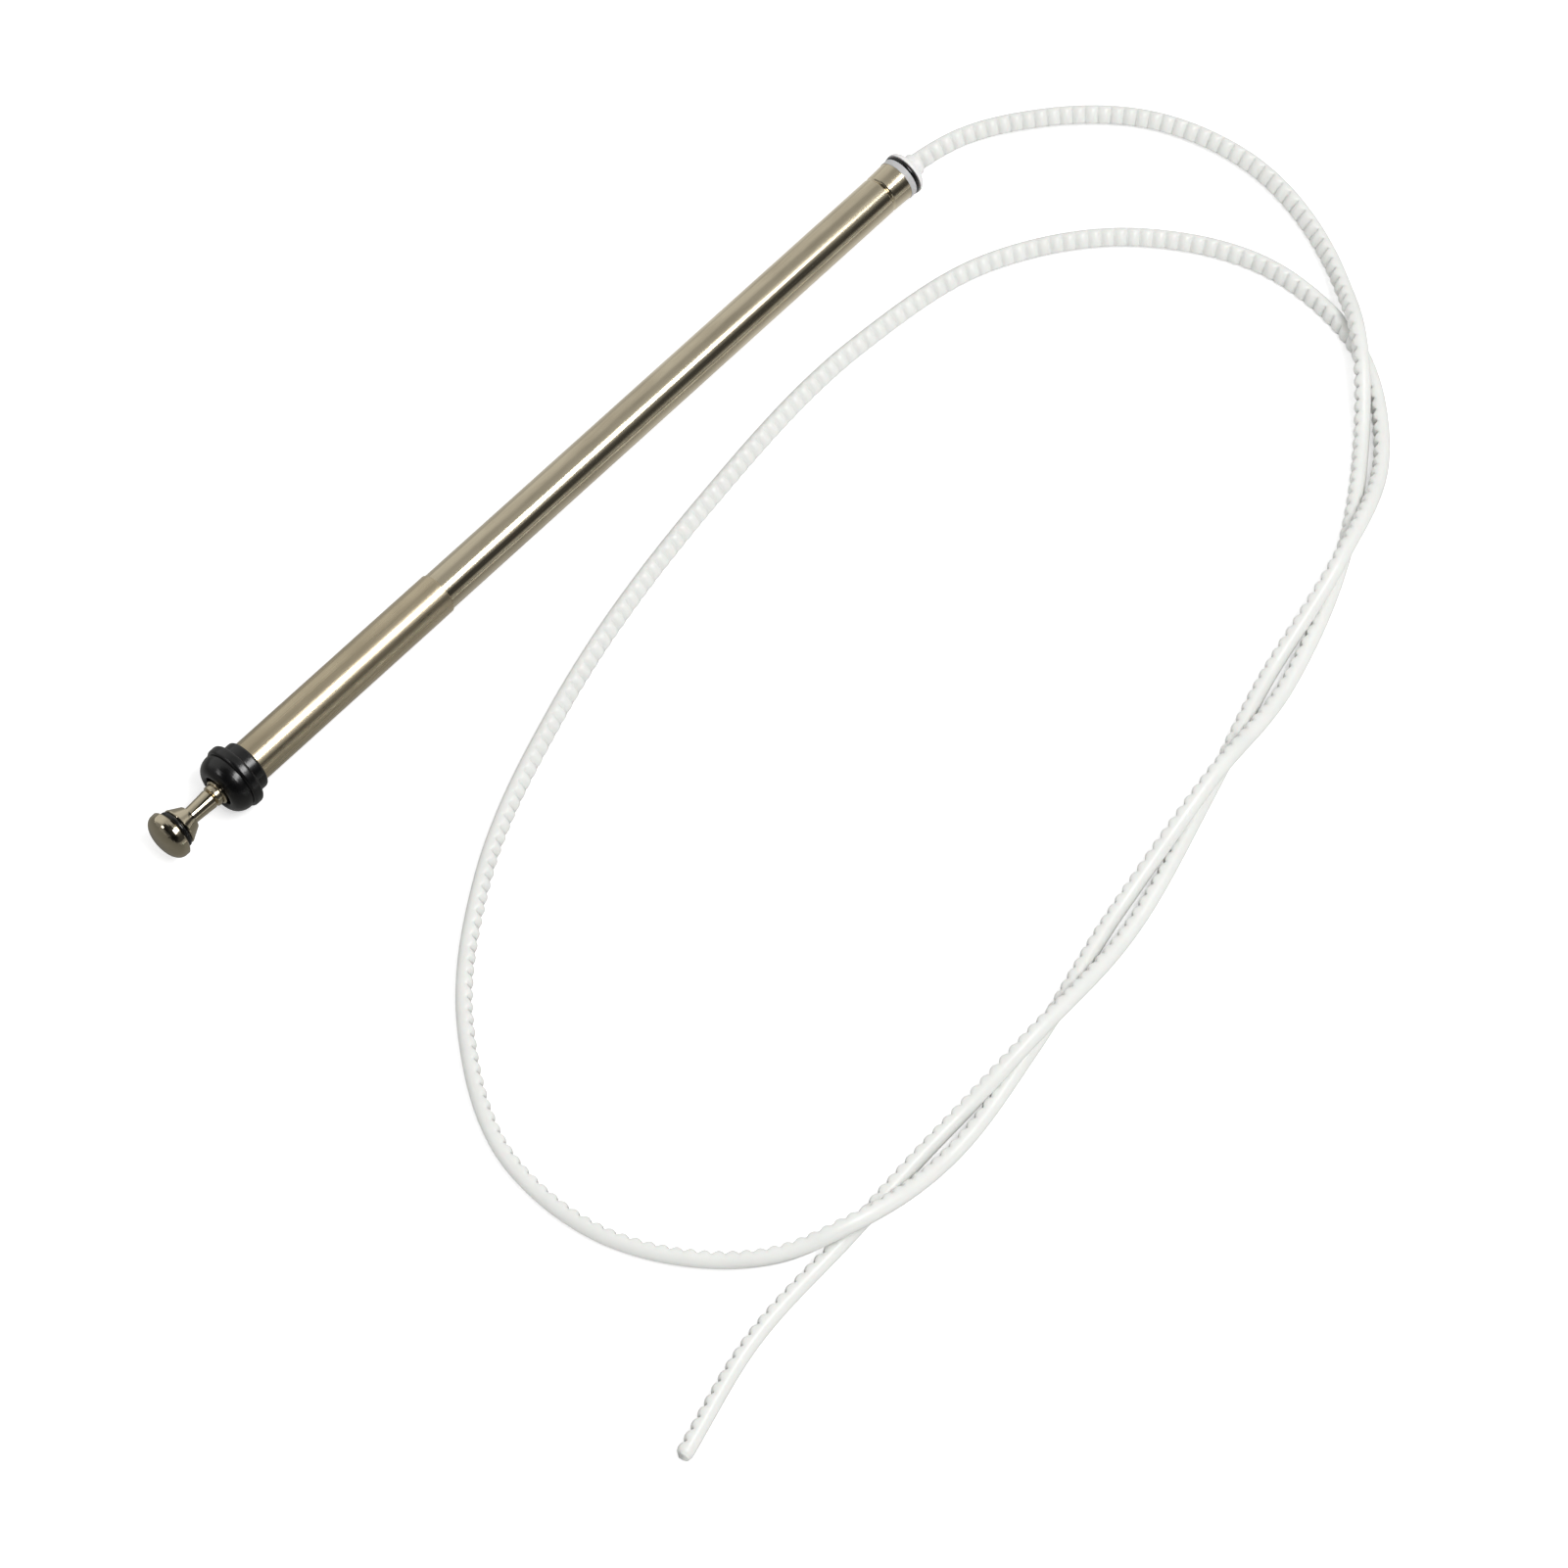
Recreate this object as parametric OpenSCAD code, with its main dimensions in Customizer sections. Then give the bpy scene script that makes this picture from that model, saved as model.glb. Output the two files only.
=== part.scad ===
// Telescopic car mast aerial, retracted, lying on a table with its toothed drive cable.
// The mast is turned about one axis, and its stations are heights above the cable end of the base plug.
// It rests on the seal flange and on the rim of the base plug, so its axis rises a little to the tip.

/* [Outer tube] */
// Outside diameter of the fixed outer tube
tube_od = 10; // [9.5:0.1:12]
// Wall of the outer tube
tube_wall = 0.4; // [0.3:0.05:0.5]
// Length of the outer tube
tube_len = 224.2; // [200:0.2:260]
// Outside diameter of the flared end of the outer tube
flare_od = 10.4; // [10:0.1:11]
// Wall of the sleeve on the front of the outer tube
sleeve_wall = 0.3; // [0.15:0.05:0.5]
// Length of the front sleeve
sleeve_len = 66.6; // [40:0.2:90]
// Depth of the ring groove that crimps the tube to the base plug
crimp_depth = 0.5; // [0.2:0.05:0.5]
// Distance from the end of the tube to the crimp
crimp_up = 5.7; // [4:0.1:7]
// Half width of the crimp
crimp_half = 0.6; // [0.5:0.05:0.9]

/* [Moving sections] */
// Outside diameter of the first moving section
section_1_od = 7.4; // [7:0.1:7.8]
// Outside diameter of the second moving section
section_2_od = 6.4; // [6.2:0.05:6.5]
// Outside diameter of the third moving section
section_3_od = 5.4; // [5.3:0.05:5.5]
// Wall of the three moving sections
section_wall = 0.3; // [0.2:0.02:0.32]
// Depth of the first section's mouth inside the seal
mouth_recess = 3.1; // [2:0.1:4]
// How far the second section stands out of the seal
mouth_2_out = 0.4; // [-0.6:0.1:3]
// How far the third section stands out of the second
mouth_3_out = 1.5; // [0.5:0.1:3]
// Thickness of each rolled mouth
mouth_lip = 0.6; // [0.4:0.1:1]
// Radius of the outer edge of each rolled mouth
mouth_round = 0.35; // [0.1:0.05:0.4]
// Height of the collar at the foot of each section
foot_collar = 3; // [2:0.1:4]
// Height of the lip round the foot of each section
foot_lip = 2; // [1:0.1:4]
// Height of each contact spring
spring_len = 7; // [5:0.5:10]
// Sheet thickness of the contact springs
spring_t = 0.1; // [0.08:0.01:0.12]
// Slots in each contact spring
spring_slots = 6; // [4:1:10]
// Width of a slot in a contact spring
spring_slot = 0.8; // [0.4:0.1:1.2]

/* [Rod and tip] */
// Diameter of the solid rod
rod_d = 3; // [2.4:0.1:3.4]
// Height of the guide ring at the rod's foot
rod_foot_len = 4; // [3:0.1:6]
// Diameter of the brass anchor that holds the cable
anchor_d = 4.4; // [4:0.1:4.6]
// Height of the anchor's head
anchor_head = 1.5; // [1:0.1:1.8]
// Height of the anchor's spigot in the rod's foot
anchor_spigot = 2; // [1:0.1:2.5]
// Length of the neck behind the tip button
neck_len = 6.7; // [5:0.1:12]
// Diameter of the neck at the button
neck_d = 4.2; // [3.7:0.1:4.4]
// Diameter of the neck's bell end
bell_d = 4.9; // [4.6:0.1:5.3]
// Diameter of the tip button
button_d = 12; // [11:0.1:14]
// Height of the dome of the tip button
button_dome = 3.2; // [3:0.1:6]
// Height of the button's rim
button_rim = 1; // [0.8:0.1:3]
// Diameter of the tip button's back, where it meets the neck
button_back_d = 6; // [5:0.1:7.2]
// Diameter of the flange behind the tip ring
button_flange_d = 9.4; // [8:0.1:10]
// Height of the flange behind the tip ring
button_flange = 3.5; // [2:0.1:4]
// Cord of the tip O-ring
tip_ring_cord = 1.4; // [1.2:0.1:2]
// Diameter of the groove under the tip O-ring
tip_groove_d = 7; // [6:0.1:7.2]
// Gap between the tip O-ring and the rim of the button
tip_ring_gap = 0.3; // [0.1:0.1:1.4]
// Depth of the rod's hole in the tip button
button_bore = 5; // [3:0.1:6]

/* [Seal] */
// Diameter of the seal's dome
dome_d = 15.2; // [14.6:0.1:16]
// Height of the seal's dome
dome_len = 3.8; // [3:0.1:5]
// Radius of the lip round the hole in the dome
throat_round = 0.7; // [0.3:0.1:1]
// Diameter of the seal's flange
flange_d = 16.3; // [16:0.1:20]
// Thickness of the seal's flange
flange_t = 2.9; // [2:0.1:4]
// Radius of the flange's round edge
flange_round = 0.9; // [0.5:0.1:0.95]
// Diameter of the seal's collar
collar_d = 12.8; // [11.8:0.1:14]
// Height of the seal's collar
collar_len = 3.1; // [2:0.1:5]
// Radius of the collar's round edge
collar_round = 0.8; // [0.4:0.1:1]
// Depth of the fine groove between dome and flange
seam_depth = 0.3; // [0.2:0.05:0.5]
// Length of the guide bush in the mouth of the tube
bush_len = 12; // [8:0.5:20]
// Thickness of the guide bush's flange
bush_flange = 1; // [0.6:0.1:1.4]

/* [Base] */
// Diameter of the rim of the base plug
plug_rim_d = 11.2; // [11:0.1:12]
// Thickness of the rim of the base plug
plug_rim = 1.6; // [0.8:0.1:2]
// Length of the plug's nose
nose_len = 2.4; // [1.5:0.1:5]
// Diameter of the end of the nose
nose_d = 5.8; // [5.4:0.1:6.4]
// Depth of the plug in the tube
plug_depth = 8.1; // [7.9:0.1:12]
// Cord of the base O-ring
base_ring_cord = 1.2; // [0.9:0.1:1.4]
// How far the base O-ring lies inside the rim of the plug
base_ring_inset = 0.1; // [0:0.05:0.3]
// How far the plastic collar under the tube lies inside the rim of the plug
base_collar_inset = 0.3; // [0.1:0.05:0.5]
// Breadth of the plastic collar, from its bore to its edge
base_collar_w = 0.9; // [0.6:0.05:1]
// Thickness of the plastic collar
base_collar_t = 1.6; // [0.8:0.1:2.4]

/* [Cable] */
// Breadth of the cable, standing upright
cable_w = 4.5; // [4:0.1:4.6]
// Thickness of the cable over its teeth
cable_t = 3.6; // [3:0.1:3.8]
// Sides of the cable's section
cable_sides = 8; // [8:1:12]

/* [Clearances] */
// Sliding clearance between a section and what guides it
slide_gap = 0.05; // [0.03:0.01:0.08]
// Clearance between fixed pieces
seat_gap = 0.02; // [0.01:0.01:0.05]
// Gap between moving pieces that rest on each other
rest_gap = 0.3; // [0.2:0.05:0.4]
// Clearance between the cable and the bores that it runs in
cable_gap = 0.2; // [0.15:0.05:0.3]

/* [Hidden] */
fine = 96;

tube_r = tube_od / 2;
tube_bore_r = tube_r - tube_wall;
sleeve_r = tube_r + seat_gap + sleeve_wall;
flare = (flare_od - tube_od) / 2;

// Stations of the base, from the end of the nose
rim_z = nose_len;
base_ring_z = rim_z + plug_rim;
base_collar_z = base_ring_z + base_ring_cord;
tube_z = base_collar_z + base_collar_t;
plug_top = tube_z + plug_depth;
crimp_z = tube_z + crimp_up;
cable_bore_r = cable_w / 2 + cable_gap;
rim_r = plug_rim_d / 2;
base_ring_r = rim_r - base_ring_inset;
base_collar_r = rim_r - base_collar_inset;
base_neck_r = base_collar_r - base_collar_w;

// Stations of the seal at the front end of the tube
tube_top = tube_z + tube_len;
sleeve_z = tube_top - sleeve_len;
seal_shoulder = tube_top + bush_flange + seat_gap;
dome_z = seal_shoulder + 0.4;
flange_top = dome_z - 0.5;
flange_z = flange_top - flange_t;
seal_z = flange_z - collar_len;
dome_r = dome_d / 2;
flange_r = flange_d / 2;
collar_r = collar_d / 2;
dome_top = dome_z + dome_len;
throat_r = section_1_od / 2 + 3 * slide_gap;

// Moving sections, from the first to the third: outside radius, foot and mouth
section_r = [section_1_od / 2, section_2_od / 2, section_3_od / 2];
next_r = [section_r[1], section_r[2], rod_d / 2];
guide_r = [tube_bore_r, section_r[0] - section_wall, section_r[1] - section_wall];
mouth_1 = dome_top - mouth_recess;
mouth_2 = dome_top + mouth_2_out;
mouth_3 = mouth_2 + mouth_3_out;
mouth = [mouth_1, mouth_2, mouth_3];
foot_1 = plug_top + rest_gap;
foot_step = foot_collar + rest_gap;
foot = [foot_1, foot_1 + foot_step, foot_1 + 2 * foot_step];

// Rod, cable anchor and tip
rod_foot_z = foot[2] + foot_step;
anchor_z = rod_foot_z - anchor_head;
rod_z = rod_foot_z + anchor_spigot;
cable_top = anchor_z - rest_gap;
neck_z = mouth_3 + rest_gap;
button_z = neck_z + neck_len;
tip_groove_z = button_z + button_flange;
tip_groove_len = 0.1 + tip_ring_cord + tip_ring_gap;
rim_bottom = tip_groove_z + tip_groove_len;
rim_top = rim_bottom + button_rim;
mast_len = rim_top + button_dome;

// The mast rests on the flange of the seal and on the rim of the plug
flange_mid = flange_z + flange_t / 2;
rim_mid = base_ring_z - 0.1;
tilt = atan((flange_r - rim_r) / (flange_mid - rim_mid));
base_x = -mast_len * cos(tilt) / 2;
base_h = rim_r / cos(tilt) - rim_mid * sin(tilt);

// Route of the cable from inside the mast to its free end, as it lies on the table
lie = 2.25;
over = 7.9;
axis_near = [base_x + cable_top * cos(tilt), 0, base_h + cable_top * sin(tilt)];
axis_exit = [base_x - cos(tilt), 0, base_h - sin(tilt)];
route = [
    axis_near, axis_exit,
    [-139, 2, 5], [-159, 12, 3], [-177, 31, lie], [-184.5, 58, lie], [-180, 82, 2.5], [-171.5, 98, 4.5],
    [-162, 110.5, over], [-140, 130.5, lie], [-112, 147.5, lie], [-81, 158.5, lie],
    [-47.5, 163.5, over], [-10, 168.5, lie], [28, 177, lie], [58.5, 181.5, lie],
    [90, 178, over], [105, 170.5, 5], [116.5, 158.5, 3], [127.5, 136, lie],
    [128, 111, lie], [110, 79.5, lie], [81, 57, lie], [38, 39.5, lie],
    [-26, 26.5, lie], [-83, 23.5, lie], [-120, 30.5, lie], [-149, 51, lie],
    [-165, 82.5, lie],
    [-162, 110.5, lie], [-143, 134.5, lie], [-112, 147.5, over], [-80.5, 153.5, lie],
    [-47.5, 163.5, lie], [-10.5, 173.5, lie], [28, 177, over], [58, 176.5, lie],
    [90, 178, lie], [122.5, 179.5, lie], [153, 187, lie]
];
route_end = len(route) - 1;
legs = 2;

// Points of an arc, from one angle to another
function arc(x, y, r, from, to, steps = 8) =
    [for (i = [0:steps]) let (a = from + (to - from) * i / steps) [x + r * cos(a), y + r * sin(a)]];

// Points of a crimp ring in a wall of radius r: a round dip of the crimp's depth
function dip(r, steps = 8) =
    [for (i = [0:steps]) let (u = i / steps)
        [r - crimp_depth * (1 - cos(360 * u)) / 2, crimp_z + crimp_half * (2 * u - 1)]];

// The same points in the other order
function back(points) = [for (i = [len(points) - 1:-1:0]) points[i]];

// Speed of the route at point i: the chords beside it, each weighted by the other's length
function chord(i) = norm(route[i + 1] - route[i]);
function slope(i) = (route[i + 1] - route[i]) / chord(i);
function mix(a, b, wa, wb) = (a * wb + b * wa) / (wa + wb);
function level(a, b) = a * b <= 0 ? 0 : 2 * a * b / (a + b);
function heading(i) =
    i == 0 ? slope(0) :
    i == route_end ? slope(route_end - 1) :
    let (v = mix(slope(i - 1), slope(i), chord(i - 1), chord(i)))
        [v.x, v.y, level(slope(i - 1).z, slope(i).z)];

// Point of the route a share u along leg i, and the direction there
function spot(i, u) =
    let (d = chord(i), u2 = u * u, u3 = u2 * u)
        route[i] * (2 * u3 - 3 * u2 + 1) + heading(i) * d * (u3 - 2 * u2 + u)
        + route[i + 1] * (3 * u2 - 2 * u3) + heading(i + 1) * d * (u3 - u2);
function unit(v) = v / norm(v);
centres = [
    for (i = [0:route_end - 1]) for (k = [0:legs - 1]) spot(i, k / legs),
    route[route_end]
];
rings = len(centres);

// One ring of the cable's oval section, upright across the route
function cable_ring(n) =
    let (
        along = unit(centres[min(n + 1, rings - 1)] - centres[max(n - 1, 0)]),
        side = unit(cross(along, [0, 0, 1])),
        up = cross(side, along)
    )
    [for (k = [0:cable_sides - 1]) let (a = 360 * k / cable_sides)
        centres[n] + side * cable_t / 2 * cos(a) + up * cable_w / 2 * sin(a)];

// Places what is turned about Z on the mast's axis
module lay() {
    translate([base_x, 0, base_h]) rotate([0, 90 - tilt, 0]) children();
}

module turned(points) {
    lay() rotate_extrude($fn = fine) polygon(points);
}

module outer_tube() {
    color("#b8b0a0") turned(concat(
        [[tube_bore_r + flare, tube_z], [tube_r + flare, tube_z], [tube_r, crimp_z - crimp_half]],
        dip(tube_r),
        [[tube_r, tube_top], [tube_bore_r, tube_top]],
        back(dip(tube_bore_r))
    ));
}

module front_sleeve() {
    bevel = sleeve_wall * 0.7;
    color("#c4bca8") turned([
        [tube_r + seat_gap, sleeve_z], [sleeve_r - bevel, sleeve_z], [sleeve_r, sleeve_z + bevel],
        [sleeve_r, tube_top], [tube_r + seat_gap, tube_top]
    ]);
}

module seal_boot() {
    crest_r = throat_r + throat_round;
    dome = [for (i = [0:12]) let (a = 90 * i / 12)
        [crest_r + (dome_r - crest_r) * cos(a), dome_z + dome_len * sin(a)]];
    color("#1b1d20") turned(concat(
        [[sleeve_r + seat_gap, seal_z]],
        arc(collar_r - collar_round, seal_z + collar_round, collar_round, -90, 0),
        [[collar_r, flange_z]],
        arc(flange_r - flange_round, flange_z + flange_round, flange_round, -90, 0),
        arc(flange_r - flange_round, flange_top - flange_round, flange_round, 0, 90),
        [[dome_r - seam_depth, flange_top], [dome_r - seam_depth, dome_z - 0.1]],
        dome,
        arc(crest_r, dome_top - throat_round, throat_round, 105, 180, 6),
        [[throat_r, seal_shoulder], [sleeve_r + seat_gap, seal_shoulder]]
    ));
}

module guide_bush() {
    barrel_r = tube_bore_r - seat_gap;
    bore_r = section_r[0] + slide_gap;
    color("#d8d4c8") turned([
        [bore_r, tube_top - bush_len], [barrel_r, tube_top - bush_len], [barrel_r, tube_top],
        [sleeve_r, tube_top], [sleeve_r, tube_top + bush_flange], [bore_r, tube_top + bush_flange]
    ]);
}

module base_plug() {
    flat = 0.2;
    rim_round = plug_rim - flat;
    spigot_r = tube_bore_r - seat_gap;
    nose_r = nose_d / 2;
    hollow = rim_r - rim_round - nose_r;
    color("#eeeee8") turned(concat(
        [[cable_bore_r, 0], [nose_r, 0]],
        back(arc(nose_r + hollow, rim_z - hollow, hollow, 100, 180)),
        arc(rim_r - rim_round, base_ring_z - flat, rim_round, -80, 0),
        [[rim_r, base_ring_z], [base_ring_r - base_ring_cord, base_ring_z]],
        [[base_ring_r - base_ring_cord, base_collar_z], [base_neck_r, base_collar_z]],
        [[base_neck_r, tube_z], [spigot_r + flare, tube_z]],
        [[spigot_r, crimp_z - crimp_half]],
        dip(spigot_r),
        [[spigot_r, plug_top], [cable_bore_r, plug_top]]
    ));
}

module base_o_ring() {
    color("#141416") lay() translate([0, 0, base_ring_z + base_ring_cord / 2])
        rotate_extrude($fn = fine) translate([base_ring_r - base_ring_cord / 2, 0])
            circle(d = base_ring_cord - seat_gap, $fn = 32);
}

module base_collar() {
    color("#d6d6d2") turned([
        [base_neck_r + seat_gap, base_collar_z], [base_collar_r, base_collar_z],
        [base_collar_r, tube_z], [base_neck_r + seat_gap, tube_z]
    ]);
}

// A moving section with its mouth rolled in round the next one
module section_tube(n) {
    r = section_r[n];
    bore_r = r - section_wall;
    lip_r = next_r[n] + slide_gap;
    bottom = foot[n] + foot_collar;
    color("#c9c3b4") turned(concat(
        [[bore_r, bottom], [r, bottom]],
        arc(r - mouth_round, mouth[n] - mouth_round, mouth_round, 0, 90),
        [[lip_r, mouth[n]], [lip_r, mouth[n] - mouth_lip], [bore_r, mouth[n] - mouth_lip]]
    ));
}

// The collar under a section, with a lip round its end, sliding in the tube outside it
module section_foot(n) {
    outer_r = guide_r[n] - slide_gap;
    seat = foot[n] + foot_collar;
    color("#b08d57") turned([
        [cable_bore_r, foot[n]], [outer_r, foot[n]], [outer_r, seat + foot_lip],
        [section_r[n] + seat_gap, seat + foot_lip], [section_r[n] + seat_gap, seat], [cable_bore_r, seat]
    ]);
}

// A bowed and slotted sleeve of spring bronze that wipes the tube outside it
module section_spring(n) {
    inner_r = section_r[n] + seat_gap;
    bottom = foot[n] + foot_collar + foot_lip;
    bow = guide_r[n] - slide_gap - inner_r - spring_t;
    steps = 8;
    inside = [for (i = [0:steps]) let (u = i / steps) [inner_r + bow * sin(180 * u), bottom + spring_len * u]];
    outside = [for (p = back(inside)) [p.x + spring_t, p.y]];
    slot_len = spring_len * 0.7;
    color("#a8793a") lay() difference() {
        rotate_extrude($fn = fine) polygon(concat(back(outside), back(inside)));
        for (k = [0:spring_slots - 1]) rotate([0, 0, 360 * k / spring_slots])
            translate([0, -spring_slot / 2, bottom + (spring_len - slot_len) / 2])
                cube([guide_r[n], spring_slot, slot_len]);
    }
}

module rod() {
    color("#c9c3b4") turned([
        [0, rod_z], [rod_d / 2, rod_z], [rod_d / 2, button_z + button_bore], [0, button_z + button_bore]
    ]);
}

module rod_foot() {
    outer_r = section_r[2] - section_wall - slide_gap;
    color("#b08d57") turned([
        [rod_d / 2 + seat_gap, rod_foot_z], [outer_r, rod_foot_z],
        [outer_r, rod_foot_z + rod_foot_len], [rod_d / 2 + seat_gap, rod_foot_z + rod_foot_len]
    ]);
}

module cable_anchor() {
    color("#b08d57") turned([
        [0, anchor_z], [anchor_d / 2, anchor_z], [anchor_d / 2, rod_foot_z],
        [rod_d / 2, rod_foot_z], [rod_d / 2, rod_z], [0, rod_z]
    ]);
}

// The neck behind the tip, a concave flare that closes the mouth of the third section
module tip_ferrule() {
    bore_r = rod_d / 2 + seat_gap;
    steps = 12;
    edge = 0.3;
    flared = [for (i = [0:steps]) let (u = i / steps)
        [neck_d / 2 + (bell_d - neck_d) / 2 * pow(1 - u, 1.6), neck_z + edge + (neck_len - edge) * u]];
    color("#c9c3b4") turned(concat(
        [[bore_r, neck_z], [bell_d / 2 - edge, neck_z]],
        flared,
        [[bore_r, button_z]]
    ));
}

// The domed button, its O-ring groove and the tapered flange behind it
module tip_button() {
    bore_r = rod_d / 2 + seat_gap;
    button_r = button_d / 2;
    flange_end = button_flange_d / 2;
    groove_r = tip_groove_d / 2;
    edge = 0.3;
    squareness = 2.3;
    steps = 14;
    dome = [for (i = [0:steps]) let (a = 90 * i / steps)
        [button_r * pow(cos(a), 2 / squareness), rim_top + button_dome * pow(sin(a), 2 / squareness)]];
    color("#cfc9ba") turned(concat(
        [[bore_r, button_z], [button_back_d / 2, button_z]],
        arc(flange_end - edge, tip_groove_z - edge, edge, -40, 90, 6),
        [[groove_r, tip_groove_z], [groove_r, rim_bottom], [button_r - edge, rim_bottom]],
        [[button_r, rim_bottom + edge]],
        dome,
        [[0, button_z + button_bore + seat_gap], [bore_r, button_z + button_bore + seat_gap]]
    ));
}

module tip_o_ring() {
    color("#141416") lay() translate([0, 0, tip_groove_z + 0.1 + tip_ring_cord / 2])
        rotate_extrude($fn = fine) translate([(tip_groove_d + tip_ring_cord) / 2 + seat_gap, 0])
            circle(d = tip_ring_cord, $fn = 32);
}

module drive_cable() {
    points = [for (n = [0:rings - 1]) each cable_ring(n)];
    walls = [
        for (n = [0:rings - 2]) for (k = [0:cable_sides - 1])
            let (a = n * cable_sides + k, b = n * cable_sides + (k + 1) % cable_sides)
                each [[a, a + cable_sides, b + cable_sides], [a, b + cable_sides, b]]
    ];
    ends = [
        [for (k = [0:cable_sides - 1]) k],
        [for (k = [cable_sides - 1:-1:0]) (rings - 1) * cable_sides + k]
    ];
    color("#e6ebe6") polyhedron(points, concat(walls, ends));
}

outer_tube();
front_sleeve();
seal_boot();
guide_bush();
base_plug();
base_o_ring();
base_collar();
section_tube(0);  // section_1_tube
section_foot(0);  // section_1_foot
section_spring(0);  // section_1_spring
section_tube(1);  // section_2_tube
section_foot(1);  // section_2_foot
section_spring(1);  // section_2_spring
section_tube(2);  // section_3_tube
section_foot(2);  // section_3_foot
section_spring(2);  // section_3_spring
rod();
rod_foot();
cable_anchor();
tip_ferrule();
tip_button();
tip_o_ring();
drive_cable();
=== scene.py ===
import math

import bpy
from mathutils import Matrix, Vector


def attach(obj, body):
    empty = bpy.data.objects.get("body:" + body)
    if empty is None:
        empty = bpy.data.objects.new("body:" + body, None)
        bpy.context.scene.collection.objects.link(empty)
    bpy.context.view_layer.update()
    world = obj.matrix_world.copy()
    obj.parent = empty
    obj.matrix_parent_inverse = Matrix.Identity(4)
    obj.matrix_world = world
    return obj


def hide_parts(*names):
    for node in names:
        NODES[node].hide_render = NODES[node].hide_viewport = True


bl_info = {
    "name": "Car mast aerial",
    "version": (1, 0, 0),
    "blender": (4, 5, 0),
    "location": "3D View > Sidebar > Mast aerial",
    "description": "Dresses the packed mast: its toothed cable, its finishes and the studio around it",
    "category": "Object",
}

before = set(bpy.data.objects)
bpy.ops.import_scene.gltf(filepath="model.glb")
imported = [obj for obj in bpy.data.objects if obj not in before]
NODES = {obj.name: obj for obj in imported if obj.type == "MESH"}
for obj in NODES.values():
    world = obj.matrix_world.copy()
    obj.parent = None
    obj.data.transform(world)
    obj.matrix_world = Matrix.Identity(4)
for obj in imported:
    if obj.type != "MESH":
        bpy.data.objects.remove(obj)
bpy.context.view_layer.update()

# Where each finish goes
NICKEL_TUBES = (
    "outer_tube",
    "section_1_tube",
    "section_2_tube",
    "section_3_tube",
    "rod",
)
NICKEL_TIP = ("tip_button", "tip_ferrule")
BRASS_WORKS = (
    "section_1_foot",
    "section_1_spring",
    "section_2_foot",
    "section_2_spring",
    "section_3_foot",
    "section_3_spring",
    "rod_foot",
    "cable_anchor",
)
RUBBER_RINGS = ("base_o_ring", "tip_o_ring")

# Sizes of the cable's rack, in metres
TOOTH_PITCH = 0.0031416
TOOTH_DEPTH = 0.00115
CABLE_BREADTH = 0.0045
CABLE_THICKNESS = 0.0040

# Powers that flatten the toothed face and narrow the valleys: lower is flatter and narrower
FACE_POWER = 0.45
VALLEY_POWER = 0.6
# How far up the section the valleys start and are fully deep, from its middle at 0 to its crest line at 1
VALLEY_START = 0.2
VALLEY_FULL = 0.62
# The cut ends narrow to this share over this many metres
END_SHARE = 0.8
END_RUN = 0.0009

# Route of the cable from inside the mast to its cut end, in millimetres: x, y and the height of its centre.
# LIE is that height where the cable lies on the table, and OVER where it crosses over itself.
# The last number leans the teeth: degrees that they point above the table, to the right of the way along.
LIE = 2.25
OVER = 7.9
ROUTE = (
    (-104.0, 0.0, 5.8, 48),
    (-128.4, 0.0, 5.5, 48),
    (-139.0, 2.0, 5.0, 48),
    (-159.0, 12.0, 3.0, 48),
    (-177.0, 31.0, LIE, 48),
    (-184.5, 58.0, LIE, 45),
    (-180.0, 82.0, 2.5, 35),
    (-171.5, 98.0, 4.5, 15),
    (-162.0, 110.5, OVER, 0),
    (-140.0, 130.5, LIE, 0),
    (-112.0, 147.5, LIE, 0),
    (-81.0, 158.5, LIE, 0),
    (-47.5, 163.5, OVER, 0),
    (-10.0, 168.5, LIE, 0),
    (28.0, 177.0, LIE, 0),
    (58.5, 181.5, LIE, 0),
    (90.0, 178.0, OVER, 0),
    (105.0, 170.5, 5.0, 5),
    (116.5, 158.5, 3.0, 10),
    (127.5, 136.0, LIE, 10),
    (128.0, 111.0, LIE, 5),
    (110.0, 79.5, LIE, 5),
    (81.0, 57.0, LIE, 15),
    (38.0, 39.5, LIE, 35),
    (-26.0, 26.5, LIE, 45),
    (-83.0, 23.5, LIE, 50),
    (-120.0, 30.5, LIE, 50),
    (-149.0, 51.0, LIE, 48),
    (-165.0, 82.5, LIE, 30),
    (-162.0, 110.5, LIE, 5),
    (-143.0, 134.5, LIE, 0),
    (-112.0, 147.5, OVER, 0),
    (-80.5, 153.5, LIE, 0),
    (-47.5, 163.5, LIE, 0),
    (-10.5, 173.5, LIE, 0),
    (28.0, 177.0, OVER, 0),
    (58.0, 176.5, LIE, 0),
    (90.0, 178.0, LIE, 4),
    (122.5, 179.5, LIE, 8),
    (153.0, 187.0, LIE, 10),
)
MM = 0.001
# The smooth line takes this many steps from one point of the route to the next
LEG_STEPS = 12

# The camera, in metres, and its lens in millimetres
CAMERA_PLACE = (0.4926, 0.5322, 1.2220)
CAMERA_TARGET = (0.0164, 0.0902, 0.0)
CAMERA_LENS = 138.5

# What the metal mirrors of the room: its level at each angle in degrees, from the horizon on the camera's
# side at 0 over the top to the far horizon at 180
ROOM_LEVELS = (
    (0, 0.26),
    (7, 0.22),
    (11, 0.04),
    (34, 0.04),
    (44, 0.14),
    (54, 0.36),
    (60, 0.60),
    (78, 0.60),
    (92, 0.40),
    (110, 0.36),
    (120, 0.38),
    (132, 0.51),
    (146, 0.58),
    (180, 0.60),
)
# Blue's share of that level, which warms it a little
ROOM_BLUE = 0.97
# The way from the mast to the middle of the dark gap over the tip
GAP_WAY = (0.45, 0.25, 0.857)
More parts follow.
